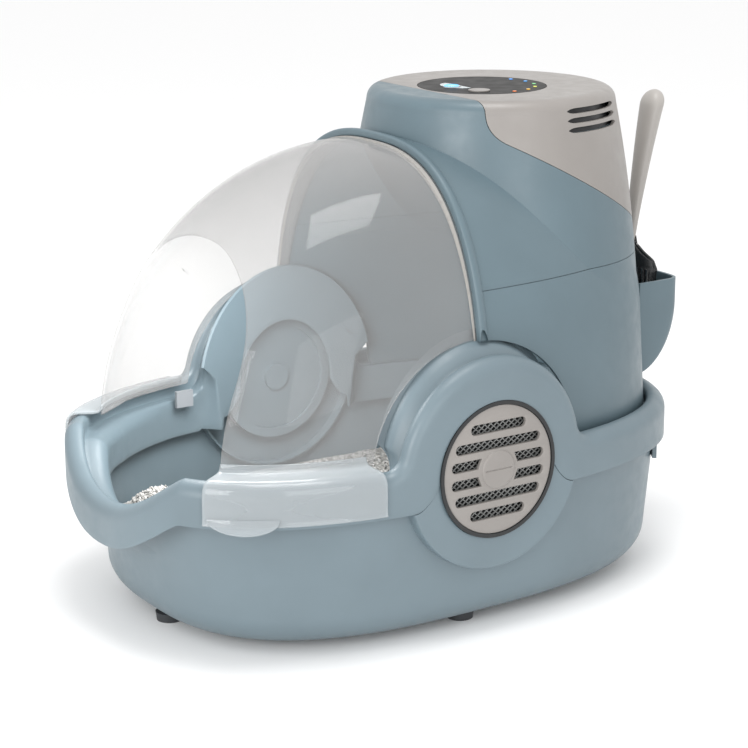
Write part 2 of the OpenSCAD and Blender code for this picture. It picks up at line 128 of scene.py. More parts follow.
def moulded(name, colour, rough=(0.34, 0.46), grain=2600, depth=0.00006, coat=0.0, vary=0.06):
    """Moulded plastic: mottled colour, uneven gloss, mould texture."""
    made, nodes, links, shader = new_material(name)
    wide = noise(nodes, links, 9, 4)
    low = tuple(c * (1 - vary) for c in colour)
    high = tuple(min(1, c * (1 + vary)) for c in colour)
    links.new(ramp(nodes, links, wide, [(0.35, low), (0.65, high)]), shader.inputs["Base Color"])
    middle = noise(nodes, links, 70, 4)
    links.new(spread(nodes, links, middle, *rough), shader.inputs["Roughness"])
    relief(nodes, links, shader, noise(nodes, links, grain, 2), depth, 0.5)
    shader.inputs["Coat Weight"].default_value = coat
    shader.inputs["Coat Roughness"].default_value = 0.15
    return made


# %% [markdown]
# The real box has few plastics: one soft blue for the shells, a warm taupe for the cap and the
# vent covers, black for what is hidden or shows figures, and a little steel and rubber. Each
# gets its own colour and gloss from the one recipe, so that they look like one family. The
# hood's pieces get a darker copy of the shell blue, which is painted shade.

# %% Finishes
shell_blue = moulded("shell_blue", (0.134, 0.178, 0.202), depth=0.00003)
# The hood is the same plastic as the pan; this darker copy of its blue is painted shade.
shaded_hood_blue = moulded("shaded_hood_blue", (0.100, 0.145, 0.168), depth=0.00003)
taupe = moulded("taupe", (0.245, 0.228, 0.214), rough=(0.34, 0.46))
taupe_pale = moulded("taupe_pale", (0.36, 0.34, 0.32), rough=(0.3, 0.42))
dark_rubber = moulded("dark_rubber", (0.012, 0.013, 0.014), rough=(0.45, 0.6), grain=1800)
foot_rubber = moulded("foot_rubber", (0.035, 0.038, 0.042), rough=(0.6, 0.8), grain=1500,
                      depth=0.0002)
fan_black = moulded("fan_black", (0.02, 0.02, 0.022), rough=(0.35, 0.5))
panel_black = moulded("panel_black", (0.012, 0.011, 0.010), rough=(0.3, 0.38), grain=400,
                      depth=0.00001, vary=0.15)
panel_black.node_tree.nodes["Principled BSDF"].inputs["IOR"].default_value = 1.1
clip_grey = moulded("clip_grey", (0.22, 0.235, 0.25), rough=(0.3, 0.42))
button_pale = moulded("button_pale", (0.5, 0.55, 0.58), rough=(0.15, 0.25), coat=0.5)
board_green = moulded("board_green", (0.02, 0.11, 0.05), rough=(0.3, 0.45), grain=900)
screw_steel = moulded("screw_steel", (0.55, 0.55, 0.56), rough=(0.22, 0.36), grain=900)
screw_steel.node_tree.nodes["Principled BSDF"].inputs["Metallic"].default_value = 1
wire_grey = moulded("wire_grey", (0.27, 0.275, 0.27), rough=(0.3, 0.42), grain=1500)
scoop_black = moulded("scoop_black", (0.014, 0.014, 0.015), rough=(0.1, 0.2), grain=300,
                      depth=0.00002, coat=0.3, vary=0.2)
foam_black = moulded("foam_black", (0.012, 0.013, 0.014), rough=(0.8, 0.95), grain=700,
                     depth=0.0012, vary=0.4)
print("finishes:", len(bpy.data.materials))

# %% [markdown]
# Nearly every surface here is a grid of points. One helper makes grids a mesh. It turns each
# grid's faces away from a point inside the piece, joins points that meet, and can give the
# skin a wall and its edges a small round, which is what makes moulded edges catch the light.

# %% Grids to pieces
def grid_faces(rows, columns, close_rows, close_columns):
    """The quads of a grid, as indices; a closed direction joins its last line to its first."""
    r = np.arange(rows if close_rows else rows - 1)
    c = np.arange(columns if close_columns else columns - 1)
    r, c = np.meshgrid(r, c, indexing="ij")
    r2, c2 = (r + 1) % rows, (c + 1) % columns
    quads = np.stack([r * columns + c, r * columns + c2, r2 * columns + c2, r2 * columns + c], -1)
    return quads.reshape(-1, 4)


def outward(points, faces, inside):
    """Faces turned so that, on the whole, they look away from the inside point."""
    a, b, c, d = (points[faces[:, k]] for k in range(4))
    normal = np.cross(c - a, d - b)
    away = ((a + c) / 2 - np.array(inside)) * normal
    return faces if away.sum() > 0 else faces[:, ::-1]


def mirrored(grid):
    """The same grid on the other side of the middle plane."""
    return grid * np.array([-1, 1, 1])


def piece(name, grids, material, body, node=(), inside=(0, 0, 0), wall=0, edge=0,
          crease=35, drop=None):
    """A piece from grids of points in mm about the vent axis: [(grid, rows closed, columns
    closed), ...]. wall gives the skin a thickness inwards, edge rounds sharp corners, crease is
    the angle in degrees past which an edge shows, and drop(middles) leaves faces out."""
    points, faces, start = [], [], 0
    for grid, close_rows, close_columns in grids:
        flat = grid.reshape(-1, 3)
        quads = grid_faces(grid.shape[0], grid.shape[1], close_rows, close_columns)
        if drop is not None:
            quads = quads[~drop(flat[quads].mean(axis=1))]
        centre = inside(flat) if callable(inside) else inside
        quads = outward(flat, quads, centre)
        faces.append(quads + start)
        points.append(flat)
        start += len(flat)
    points, faces = np.concatenate(points), np.concatenate(faces)
    mesh = bpy.data.meshes.new(name)
    mesh.from_pydata((points * MM + axis_point).tolist(), [], faces.tolist())
    tidy = bmesh.new()
    tidy.from_mesh(mesh)
    bmesh.ops.remove_doubles(tidy, verts=tidy.verts, dist=0.00002)
    bmesh.ops.dissolve_degenerate(tidy, edges=tidy.edges, dist=0.00001)
    tidy.to_mesh(mesh)
    tidy.free()
    return dress(name, mesh, material, body, node, wall, edge, crease)


def dress(name, mesh, material, body, node=(), wall=0, edge=0, crease=35):
    """Smooth shading with creases, a finish, modifiers and the body it rides on."""
    mesh.polygons.foreach_set("use_smooth", np.ones(len(mesh.polygons), bool))
    mesh.set_sharp_from_angle(angle=math.radians(crease))
    mesh.materials.append(material)
    made = bpy.data.objects.new(name, mesh)
    bpy.context.scene.collection.objects.link(made)
    if wall:
        skin = made.modifiers.new("wall", "SOLIDIFY")
        skin.thickness = wall * MM
        skin.offset = -1
    if edge:
        rounding = made.modifiers.new("edge", "BEVEL")
        rounding.width = edge * MM
        rounding.segments = 2
        rounding.limit_method = "ANGLE"
        rounding.angle_limit = math.radians(50)
    if body:
        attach(made, body)
    if node:
        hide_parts(*([node] if isinstance(node, str) else node))
    return made


def settle(made):
    """Makes a piece's modifiers part of its mesh."""
    depsgraph = bpy.context.evaluated_depsgraph_get()
    mesh = bpy.data.meshes.new_from_object(made.evaluated_get(depsgraph))
    made.modifiers.clear()
    made.data = mesh


def cut_away(made, cutter):
    """Takes the cutter's space out of a piece and removes the cutter."""
    carve = made.modifiers.new("cut", "BOOLEAN")
    carve.object = cutter
    carve.operation = "DIFFERENCE"
    carve.solver = "EXACT"
    settle(made)
    bpy.data.objects.remove(cutter)
    made.data.polygons.foreach_set("use_smooth", np.ones(len(made.data.polygons), bool))
    made.data.set_sharp_from_angle(angle=math.radians(35))


def plain_solid(name, grids, inside):
    """A closed solid for cutting with, made like a piece but riding on nothing."""
    return piece(name, grids, shell_blue, None, inside=inside)


def revolve(profile, steps):
    """A profile of (radius, x) carried once round the vent axis."""
    profile = np.array(profile, float)
    angle = np.radians(np.linspace(0.0, 360.0, steps, endpoint=False))
    r, x = profile[:, 0:1], profile[:, 1:2]
    return np.stack([x + 0 * angle, r * np.cos(angle), r * np.sin(angle)], -1)


# %% [markdown]
# The pan, the rim frame and the visor's skirt all follow one plan: a power curve, fuller than
# an ellipse. The rim has the curve itself, the pan draws it in, most of all at the front, and
# the skirt stands just outside it. At the entry the rim hangs down in a smooth dip.

# %% The plan curve and the dip
half_width, half_length, plan_power = 197.0, 288.0, 2.7
band_low, band_high = -26.0, 12.0
dip_depth, dip_half = 42.0, 105.0
pan_bottom, pan_corner, pan_draft = -146.0, 30.0, 0.078
pan_inset, pan_front_inset = 9, 32


def unit_curve(angle, power):
    """Cosine and sine, each raised to 2 over the power, with their signs kept."""
    c, s = np.cos(angle), np.sin(angle)
    return np.sign(c) * np.abs(c) ** (2 / power), np.sign(s) * np.abs(s) ** (2 / power)


def dip(x, y):
    """How far the rim hangs: full in the middle of the front, nothing past the dip's ends."""
    u = np.clip(np.abs(x) / dip_half, 0, 1)
    return np.where(y < 0, dip_depth * (1 - u ** 2.2) ** 1.2, 0)


def even_angles(first, last, count):
    """Angles between two on the plan curve that stand evenly along its length."""
    fine = np.linspace(first, last, 3000)
    cx, cy = unit_curve(fine, plan_power)
    run = np.concatenate([[0], np.cumsum(np.hypot(np.diff(half_width * cx),
                                                  np.diff(half_length * cy)))])
    return np.interp(np.linspace(0, run[-1], count), run, fine)


def pan_ring(inset, z, dips, angle):
    """One ring of the pan: the plan curve drawn in by inset, shorter in front than behind, and
    lowered by dips times the rim's dip."""
    cx, cy = unit_curve(angle, plan_power)
    reach = np.where(cy > 0, half_length - pan_inset, half_length - pan_front_inset)
    x, y = (half_width - pan_inset - inset) * cx, (reach - inset) * cy
    return np.stack([x, y, z - dips * dip(x, y)], -1)


# %% [markdown]
# The pan is a deep tub whose sides draw in towards a well rounded bottom. It is a loft: one
# ring of the plan curve for each height, carried from the middle of the floor to the rim.

# %% Pan
def pan_rings():
    """Floor, quarter-round corner, drafted side and rim, as one grid of rings."""
    angle = np.concatenate([even_angles(-np.pi / 2, np.pi / 2, 150)[:-1],
                            np.pi - even_angles(-np.pi / 2, np.pi / 2, 150)[::-1][:-1]])
    rings = []
    for share in (0.02, 0.25, 0.5, 0.7, 0.85, 0.95):
        full = pan_ring(pan_draft * 90 + pan_corner, pan_bottom, 0, angle)
        rings.append(full * np.array([share, share, 1]))
    for turn in np.radians(np.linspace(90, 0, 13)):
        z = pan_bottom + pan_corner * (1 - math.sin(turn))
        inset = pan_draft * (band_low - z) + pan_corner * (1 - math.cos(turn))
        rings.append(pan_ring(inset, z, 0, angle))
    for z in np.linspace(-108, -30, 14):
        dips = 0.55 * np.clip((z + 80) / 54, 0, 1)
        rings.append(pan_ring(pan_draft * (band_low - z), z, dips, angle))
    rings.append(pan_ring(0, -22, 0.8, angle))
    rings.append(pan_ring(0, -10, 1, angle))
    return np.array(rings)


pan = piece("pan_shell", [(pan_rings(), False, True)], shell_blue, "base", "pan",
            inside=(0, 0, -60), wall=3)
rod_r, rod_half = 61.8, 200
rod = revolve([(0.01, -rod_half), (rod_r, -rod_half), (rod_r, rod_half), (0.01, rod_half)], 96)
cut_away(pan, plain_solid("cutter", [(rod, False, True)], (0, 0, 0)))
print("pan:", len(pan.data.polygons), "faces")

# %% [markdown]
# Around each vent the pan has a round boss, flush with the rim frame above it. It is ruled
# between two arcs, the hole and its own outline, and its top edge follows the split line.

# %% Vent bosses on the pan
hole_r, boss_r, arch_r = 62.0, 91.0, 100.0
face_x = 195.0


def split_bulge(share):
    """How far the split line sags between the hole and the boss's outline."""
    return 22 * share * (1 - share)


def boss_grid():
    """Angle across, radius down: straight lines from hole to outline that sag at both ends."""
    across = np.linspace(-1, 1, 121)
    inner_end, outer_end = math.asin(4.8 / hole_r), math.asin(26.6 / boss_r)
    inner = -np.pi / 2 + across * (np.pi / 2 - inner_end)
    outer = -np.pi / 2 + across * (np.pi / 2 - outer_end)
    share = np.concatenate([np.linspace(0, 0.93, 12), [0.97, 0.99, 1, 1, 1]])
    depth = np.array([0.0] * 12 + [0.25, 1.0, 2.4, 10, 24])
    s = share[:, None]
    y = (1 - s) * hole_r * np.cos(inner) + s * boss_r * np.cos(outer)
    z = (1 - s) * hole_r * np.sin(inner) + s * boss_r * np.sin(outer)
    z = z - split_bulge(s) * np.abs(across) ** 10
    return np.stack([face_x - depth[:, None] + 0 * y, y, z], -1)


for side, turn in (("right", 1), ("left", -1)):
    grid = boss_grid() if turn > 0 else mirrored(boss_grid())
    piece("vent_boss_" + side, [(grid, False, False)], shell_blue, "base", (),
          inside=(turn * 150, 0, -60), wall=2, edge=0.4)

# %% [markdown]
# The rim frame is one moulding: a band round the whole box whose top edge is rolled over, and
# which rises on each side into an arch over the vent. The roll never stops. It runs along the
# band, curls up through a small hollow round, goes over the arch and comes down again. So it is
# made as one sweep: a path for the top edge, and one section carried along it. The section
# changes from a flat ledge for the hood to a raised seat behind the arch.

# %% The rim's path
fillet_r = 16.0
fillet_y = math.sqrt((arch_r + fillet_r) ** 2 - (band_high + fillet_r) ** 2)
lift = math.asin((band_high + fillet_r) / (arch_r + fillet_r))


def side_path():
    """Over one vent: y, z, the way out of the frame, arch share, and the lower edge's y, z."""
    y1 = np.linspace(-150, -fillet_y, 14)[:-1]
    straight = [y1, 0 * y1 + band_high, 0 * y1, 0 * y1 + 1, 0 * y1,
                np.interp(y1, [-150, -fillet_y], [-150, -101]), 0 * y1 + band_low]
    turn = np.linspace(-np.pi / 2, -lift, 12)[:-1]
    share = (turn + np.pi / 2) / (np.pi / 2 - lift)
    fillet = [-fillet_y + fillet_r * np.cos(turn), band_high + fillet_r * (1 + np.sin(turn)),
              -np.cos(turn), -np.sin(turn), share ** 2 * (3 - 2 * share),
              -101 + 14 * share, 0 * turn + band_low]
    foot = np.pi - lift
    rise = np.linspace(foot, np.radians(148), 14)[:-1]
    s = 1 - np.linspace(0, 1, 14)[:-1]
    inner_end, outer_end = math.asin(4.4 / hole_r), math.asin(26 / boss_r)
    flank = [arch_r * np.cos(rise), arch_r * np.sin(rise), np.cos(rise), np.sin(rise),
             0 * rise + 1,
             -((1 - s) * hole_r * math.cos(inner_end) + s * boss_r * math.cos(outer_end)),
             -(1 - s) * 4.4 - s * 26 - split_bulge(s)]
    over = np.linspace(np.radians(148), np.pi / 2, 40)
    below = np.linspace(np.pi + inner_end, np.pi / 2, 40)
    top = [arch_r * np.cos(over), arch_r * np.sin(over), np.cos(over), np.sin(over),
           0 * over + 1, hole_r * np.cos(below), hole_r * np.sin(below)]
    half = np.concatenate([straight, fillet, flank, top], axis=1)
    rear = half[:, ::-1][:, 1:] * np.array([-1, 1, -1, 1, 1, -1, 1])[:, None]
    return np.concatenate([half, rear], axis=1)


def rim_path():
    """The rim's right half, from the middle of the front to the middle of the rear, as the same
    seven rows as side_path gives. The rear repeats the front, without its dip."""
    corner = math.asin((150 / half_length) ** (plan_power / 2))
    front = even_angles(-np.pi / 2, -corner, 90)[:-1]
    cx, cy = unit_curve(front, plan_power)
    hang = dip(half_width * cx, half_length * cy)
    zero = 0 * hang
    before = np.array([half_length * cy, band_high - hang, zero, zero + 1, zero,
                       half_length * cy, band_low - hang])
    after = before[:, ::-1] * np.array([-1, 1, -1, 1, 1, -1, 1])[:, None]
    after[1], after[6] = band_high, band_low
    return np.concatenate([before, side_path(), after], axis=1)


def on_plan(y, z, inset):
    """The point of the side at length y and height z, sunk by inset below the outer face."""
    share = np.clip(y / half_length, -1, 1)
    cx = (1 - np.abs(share) ** plan_power) ** (1 / plan_power)
    return np.stack([(half_width - inset) * cx, (half_length - inset) * share, z], -1)


# %% [markdown]
# The real rim's section is a wall rolled over at its top. It could be a curve's bevel, but a
# bevel keeps one section, so two sections are blended instead by the arch's share of the path.

# %% The rim's section, carried along the path
path_y, path_z, out_y, out_z, arch, low_y, low_z = rim_path()
roll = np.array([(-13, 0), (-10, 0.3), (-7, 1.3), (-4.3, 3.0), (-2.1, 5.3), (-0.7, 8.0),
                 (0, 10.8), (-0.2, 13.0), (-1.2, 14.9), (-3.0, 16.1)])
ledge = np.array([(-6, 16.6), (-10, 16.7), (-13.8, 16.8), (-14.6, 17.6), (-14.7, 21),
                  (-14.8, 25.5), (-15.6, 26.9), (-18, 27.3), (-22, 27.4)])
seat = np.array([(-5, 17.0), (-6.6, 18.4), (-6.2, 20.4), (-3.4, 23.2), (2.5, 27.4),
                 (6.8, 33.0), (9.2, 38.8), (17.0, 41.4), (15.8, 43.4)])


def rim_grid():
    """Rows: the outer face, the roll, the ledge or seat, the inner wall. Columns: the path."""
    rows = []
    face_y, face_z = path_y - 13 * out_y, path_z - 13 * out_z
    for share in np.linspace(0, 1, 9)[:-1]:
        rows.append(on_plan(low_y + share * (face_y - low_y), low_z + share * (face_z - low_z), 0))
    for out, inset in roll:
        rows.append(on_plan(path_y + out * out_y, path_z + out * out_z, inset))
    front = np.clip((-path_y - 140) / 90, 0, 1)
    funnel = (0, 0, 0, 0, 0, 0, 2, 5, 8)
    for flat, raised, reach in zip(ledge, seat, funnel):
        out, inset = flat[:, None] * (1 - arch) + raised[:, None] * arch
        inset = inset + reach * front
        rows.append(on_plan(path_y + out * out_y, path_z + out * out_z, inset))
    last_out = ledge[-1, 0] * (1 - arch)
    inset = 27.4 * (1 - arch) + 43.5 * arch + 9.6 * front
    top_y, top_z = path_y + last_out * out_y, path_z + last_out * out_z
    deep_z = np.where(arch > 0, np.where(low_z > band_low, low_z, low_z - 12), low_z - 14)
    for share in np.linspace(0, 1, 8)[1:]:
        rows.append(on_plan(top_y + share * (low_y - top_y), top_z + share * (deep_z - top_z),
                            inset))
    return np.array(rows)


half_rim = rim_grid()
whole_rim = np.concatenate([half_rim, mirrored(half_rim)[:, ::-1][:, 1:-1]], axis=1)
piece("rim_shell", [(whole_rim, False, True)], shell_blue, "frame", "rim_frame",
      inside=lambda p: p.mean(axis=0), wall=2.0, edge=0.5, crease=50)
print("rim grid:", whole_rim.shape)

# %% [markdown]
# The hood is two forms in one: a dome that carries on from the visor, and a round tower that
# flares as it goes down. Where they meet there is a clear crease. A mesh that ignores the crease
# looks ragged there, so rays are sent out from the tower's axis and the crease's own angle is
# found for each ray plane. One row of the grid then lies exactly on it.

# %% The hood as a formula
tower_y, tower_top, shoulder = 134.5, 302.0, 12
dome_half, dome_rise, dome_power, dome_stretch = 172, 266, 2.7, 1.165


def tower_radius(z):
    """The tower's wall: a curve through its radius at the floor, the seam and the shoulder."""
    return 154.5 - 0.055 * z - 0.000262 * z ** 2


def hood_value(x, y, z, sunk=0.0):
    """Two values. The first is negative inside the hood. Dome: a power sum of across and turned
    radius. Tower: a round-shouldered post. The larger of their joined shape and the plan's limit
    counts, with a soft join. The second is dome minus tower, which is nothing on the crease."""
    turned = np.hypot(y / dome_stretch, z)
    dome = (np.abs(x / (dome_half - sunk)) ** dome_power
            + (turned / (dome_rise - sunk)) ** dome_power) ** (1 / dome_power)
    dome = (dome - 1) * 220
    side = np.hypot(x, y - tower_y) - (tower_radius(np.clip(z, 0, 290)) - sunk - shoulder)
    rise = z - (tower_top - sunk - shoulder)
    tower = np.where((side > 0) & (rise > 0), np.hypot(side, rise), np.maximum(side, rise))
    tower = tower - shoulder
    k = 17.5 + sunk + 0.06 * np.maximum(z, 0)
    plan = ((np.abs(x) / (half_width - k - 3)) ** plan_power
            + (np.abs(y) / (half_length - k)) ** plan_power) ** (1 / plan_power)
    plan = (plan - 1) * 200
    both = np.minimum(dome, tower)
    blend = np.clip(0.5 + (plan - both) / 16, 0, 1)
    return both + (plan - both) * blend + 8 * blend * (1 - blend), dome - tower


def ray(angle, lean, sunk=0.0):
    """Where rays from the tower's foot, at plan angle and lean above level, leave the hood."""
    near = np.zeros(np.broadcast(angle, lean).shape)
    far = near + 420.0
    ux, uy, uz = np.cos(angle) * np.cos(lean), np.sin(angle) * np.cos(lean), np.sin(lean)
    for _ in range(34):
        middle = (near + far) / 2
        value = hood_value(ux * middle, tower_y + uy * middle, uz * middle, sunk)[0]
        near, far = np.where(value < 0, middle, near), np.where(value < 0, far, middle)
    return np.stack([ux * near, tower_y + uy * near, uz * near], -1)


def find_lean(angle, test, low, high):
    """The lean where test(point) changes sign on each ray plane, found by halving."""
    low, high = low + 0 * angle, high + 0 * angle
    for _ in range(34):
        middle = (low + high) / 2
        positive = test(ray(angle, middle)) > 0
        low, high = np.where(positive, low, middle), np.where(positive, middle, high)
    return (low + high) / 2


def even_rows(angle, high, low, count, sunk=0.0):
    """Rows between two leans on every ray plane, evenly spaced along the surface."""
    fine = np.linspace(0, 1, 90)[:, None]
    points = ray(angle, high + fine * (low - high), sunk)
    step = np.linalg.norm(np.diff(points, axis=0), axis=-1) + 1e-6
    run = np.vstack([0 * angle, np.cumsum(step, axis=0)])
    wanted = np.linspace(0, 1, count)
    share = np.stack([np.interp(wanted * run[-1, k], run[:, k], fine[:, 0])
                      for k in range(len(angle))], axis=1)
    return ray(angle, high + share * (low - high), sunk)


# %% [markdown]
# The real hood is moulded in pieces that meet in thin lines. Cutting them with booleans would
# leave ragged edges, so each line is a formula, and its lean is found on every ray plane.

# %% Where the hood's pieces end
seam_z, hood_foot, notch_r = 150.0, -2.0, 108.0


def cap_value(p):
    """Positive in the cap: behind a line over the top and above a slope, the corner rounded."""
    back = p[..., 1] - 61
    above = (p[..., 2] - (270 - 0.534 * (p[..., 1] - 65))) * 0.88
    blend = np.clip(0.5 + (above - back) / 28, 0, 1)
    return above + (back - above) * blend - 14 * blend * (1 - blend)


def front_value(p):
    """Positive on the hood: behind the front edge, above the foot, outside the vent notch."""
    notch = np.hypot(p[..., 1], p[..., 2]) - notch_r
    notch = np.where(p[..., 0] > 120, notch, 1)
    return np.minimum(np.minimum(p[..., 1], p[..., 2] - hood_foot), notch)


def crease_value(p):
    """Positive where the tower stands further out than the dome."""
    return hood_value(p[..., 0], p[..., 1], p[..., 2])[1]


plan_angle = np.radians(np.concatenate([np.arange(-90, -50, 1.0), np.arange(-50, -34, 0.2),
                                        np.arange(-34, 90.1, 1.0)]))
upright = np.radians(87.0)
cap_lean = find_lean(plan_angle, cap_value, np.radians(5), upright)
cap_gap_lean = find_lean(plan_angle, lambda p: cap_value(p) + 0.5, np.radians(5), upright)
seam_lean = find_lean(plan_angle, lambda p: p[..., 2] - seam_z, 0.0, upright)
seam_gap_lean = find_lean(plan_angle, lambda p: p[..., 2] - seam_z + 0.5, 0.0, upright)
foot_lean = find_lean(plan_angle, front_value, np.radians(-3), np.radians(80))
crease_lean = find_lean(plan_angle, crease_value, np.radians(1), np.radians(85))
print("crease leans", np.degrees(crease_lean[[0, 60, 120, -1]]).round(1))

# %% [markdown]
# The two halves of the hood are screwed together on the real box. Each is a run of rows between
# its own lines. Left and right stay separate grids that meet only at the rear, so nothing
# bridges the open front.

# %% Upper and lower hood
def two_parts(angle, high, middle, low, counts):
    """Rows from high to low with one row held on the middle lean where it lies between."""
    span = high - low
    held = np.clip(middle, low + 0.06 * span, high - 0.06 * span)
    return np.concatenate([even_rows(angle, high, held, counts[0])[:-1],
                           even_rows(angle, held, low, counts[1])])


upper = two_parts(plan_angle, cap_gap_lean, crease_lean, np.maximum(seam_lean, foot_lean),
                  (34, 22))
has_lower = seam_gap_lean > foot_lean
lower = two_parts(plan_angle[has_lower], seam_gap_lean[has_lower], crease_lean[has_lower],
                  foot_lean[has_lower], (22, 22))
hood_inside = (0, 120, 60)
# The hood's shells take the darker copy of the shell blue: painted shade.
for name, grid in (("hood_upper", upper), ("hood_lower", lower)):
    piece(name + "_shell", [(grid, False, False), (mirrored(grid), False, False)], shaded_hood_blue,
          "hood", name, inside=hood_inside, wall=3, edge=0.35, crease=24)
    print(name, grid.shape)

# %% [markdown]
# Behind each seam lies a locating tongue of the lower part, so no light passes through the gap.

# %% Tongues behind the seams
def tongue(lower_lean, upper_lean):
    """A narrow strip just inside the hood's skin, on the ray planes where it stays on it."""
    strip = even_rows(plan_angle, upper_lean, lower_lean, 6, 3.05)
    keep = front_value(strip).min(axis=0) > 0.5
    return strip[:, keep]


seam_tongue = tongue(find_lean(plan_angle, lambda p: p[..., 2] - seam_z + 8, 0.0, upright),
                     find_lean(plan_angle, lambda p: p[..., 2] - seam_z - 8, 0.0, upright))
cap_tongue = tongue(find_lean(plan_angle, lambda p: cap_value(p) + 8, np.radians(5), upright),
                    find_lean(plan_angle, lambda p: cap_value(p) - 8, np.radians(5), upright))
for name, grid in (("seam_tongue", seam_tongue), ("cap_tongue", cap_tongue)):
    piece(name, [(grid, False, False), (mirrored(grid), False, False)], shaded_hood_blue, "hood", (),
          inside=hood_inside, wall=0.6, edge=0.2)

# %% [markdown]
# The hood's front edge carries a raised lip, which stiffens the real moulding where the visor
# slides under it. It is a small round section carried along the edge of the dome.

# %% Lip
def lip_grid():
    """Across: points along the dome's edge. Down: (distance back, height above the dome)."""
    section = np.array([(0.3, -2.6), (0, 0), (0, 1.6), (0.7, 2.9), (2.0, 3.3), (4.5, 3.2),
                        (7.0, 2.5), (8.8, 1.2), (10.0, -0.3)])
    end = 168.0
    x = end * np.sin(np.linspace(-1, 1, 181) * np.pi / 2)
    back, high = section[:, 0:1], section[:, 1:2]
    share = np.abs(x / (dome_half + high)) ** dome_power
    radius = np.maximum((dome_rise + high) * (1 - share) ** (1 / dome_power), notch_r)
    z = np.sqrt(radius ** 2 - (back / dome_stretch) ** 2)
    return np.stack([x + 0 * back, back + 0 * x, z], -1)


piece("hood_lip", [(lip_grid(), True, False)], shaded_hood_blue, "hood", "hood_trim",
      inside=lambda p: p.mean(axis=0), crease=60)

# %% [markdown]
# The cap is the taupe rear of the tower. Its top is pierced by the round control window, and
# its shoulder by three rows of air slits on each side, cut right through as in the real part.

# %% Cap
panel_y, panel_hole = 124.0, 60.6


def window_lean(angle):
    """The lean of the ray that meets the window's edge on the flat top."""
    s = (tower_y - panel_y) * np.sin(angle)
    reach = -s + np.sqrt(s ** 2 + panel_hole ** 2 - (tower_y - panel_y) ** 2)
    return np.arctan2(tower_top, reach)


cap_grid = even_rows(plan_angle, window_lean(plan_angle), cap_lean, 64)
cap_both = np.concatenate([mirrored(cap_grid)[:, ::-1][:, :-1], cap_grid], axis=1)
cap = piece("cap_shell", [(cap_both[:, :-1], False, True)], taupe, "cap", "top_cap",
            inside=(0, 134, 200), wall=3)


def slit_cutter(z, side):
    """A thin bent bar that stands across the wall, its ends round in plan."""
    angle = np.radians(np.linspace(-1, 36, 30))
    ends = np.clip(1 - np.abs(np.linspace(-1, 1, 30)) ** 12, 0.15, 1)
    height = 2.5 * ends
    grid = np.stack([np.stack([r * np.cos(angle), tower_y + r * np.sin(angle), z + s * height], -1)
                     for r, s in ((92, -1), (92, 1), (134, 1), (134, -1))])
    return grid * np.array([side, 1, 1])


bars = []
for z in (290.7, 282.2, 273.7):
    for side in (1, -1):
        bar = slit_cutter(z, side)
        bars.append(plain_solid("bar", [(bar, True, False)], lambda p: p.mean(axis=0)))
for bar in bars:
    closing = bmesh.new()
    closing.from_mesh(bar.data)
    bmesh.ops.holes_fill(closing, edges=closing.edges)
    bmesh.ops.recalc_face_normals(closing, faces=closing.faces)
    closing.to_mesh(bar.data)
    closing.free()
    cut_away(cap, bar)
print("cap:", len(cap.data.polygons), "faces")

# %% [markdown]
# The visor is a clear quarter dome, a little smaller than the hood so that it slides inside.
# A tall arch is cut in its front for the cat. The grid's rows follow that arch, so its edge is
# a true curve and not a staircase.

# %% Visor
visor_half, visor_rise = 168.0, 262.0
entry_half, entry_middle, entry_high, visor_foot = 109.0, 79.0, 114.0, 12.5


def visor_radius(x):
    """Distance of the visor's skin from the vent axis, at x from the middle."""
    return visor_rise * (1 - np.abs(x / visor_half) ** dome_power) ** (1 / dome_power)


def visor_x(radius):
    """The same the other way round: how far out the skin is at a radius."""
    share = np.clip(radius / visor_rise, 0, 1) ** dome_power
    return visor_half * (1 - share) ** (1 / dome_power)


def visor_grid():
    """Rows turn about the vent axis; columns run from the arch's edge, or the middle, out."""
    crown = np.radians(np.linspace(-4, 0, 3)[:-1])
    top_turn = math.acos((entry_middle + entry_high) / visor_rise)
    above = np.concatenate([crown, np.linspace(0, top_turn, 44)[:-1]])
    step = np.linspace(0, np.pi / 2, 50) ** 1.25 / (np.pi / 2) ** 0.25
    arch_x = entry_half * np.sin(step) ** (2 / 2.3)
    arch_z = entry_middle + entry_high * np.cos(step) ** (2 / 2.3)
    legs_z = np.linspace(entry_middle, visor_foot, 26)[1:]
    arch_x = np.concatenate([arch_x, 0 * legs_z + entry_half])
    arch_z = np.concatenate([arch_z, legs_z])
    cut_turn = np.arccos(np.clip(arch_z / visor_radius(arch_x), 0, 1))
    turn = np.concatenate([above, cut_turn])
    first = np.concatenate([0 * above, arch_x])
    last = visor_x(np.maximum(notch_r + 0.5, visor_foot / np.maximum(np.cos(turn), 1e-3)))
    last = np.maximum(last, first)
    across = np.sin(np.linspace(0, 1, 56) * np.pi / 2)
    x = first[:, None] + (last - first)[:, None] * across
    r = visor_radius(x)
    return np.stack([x, -r * np.sin(turn)[:, None], r * np.cos(turn)[:, None]], -1)


def clear_plastic(name, tint, clear_face, clear_edge, rough):
    """Clear moulding: mostly see-through face on, milky and shiny where it is seen edge on."""
    made, nodes, links, shader = new_material(name)
    mottle = noise(nodes, links, 14, 4)
    shade = tuple(c * 0.96 for c in tint)
    links.new(ramp(nodes, links, mottle, [(0.3, shade), (0.7, tint)]), shader.inputs["Base Color"])
    links.new(spread(nodes, links, noise(nodes, links, 60, 3), *rough),
              shader.inputs["Roughness"])
    shader.inputs["Specular IOR Level"].default_value = 0.6
    facing = nodes.new("ShaderNodeLayerWeight")
    facing.inputs["Blend"].default_value = 0.35
    alpha = nodes.new("ShaderNodeMapRange")
    alpha.inputs["To Min"].default_value = clear_face
    alpha.inputs["To Max"].default_value = clear_edge
    links.new(facing.outputs["Facing"], alpha.inputs["Value"])
    links.new(alpha.outputs["Result"], shader.inputs["Alpha"])
    relief(nodes, links, shader, noise(nodes, links, 30, 2), 0.0001, 0.2)
    return made


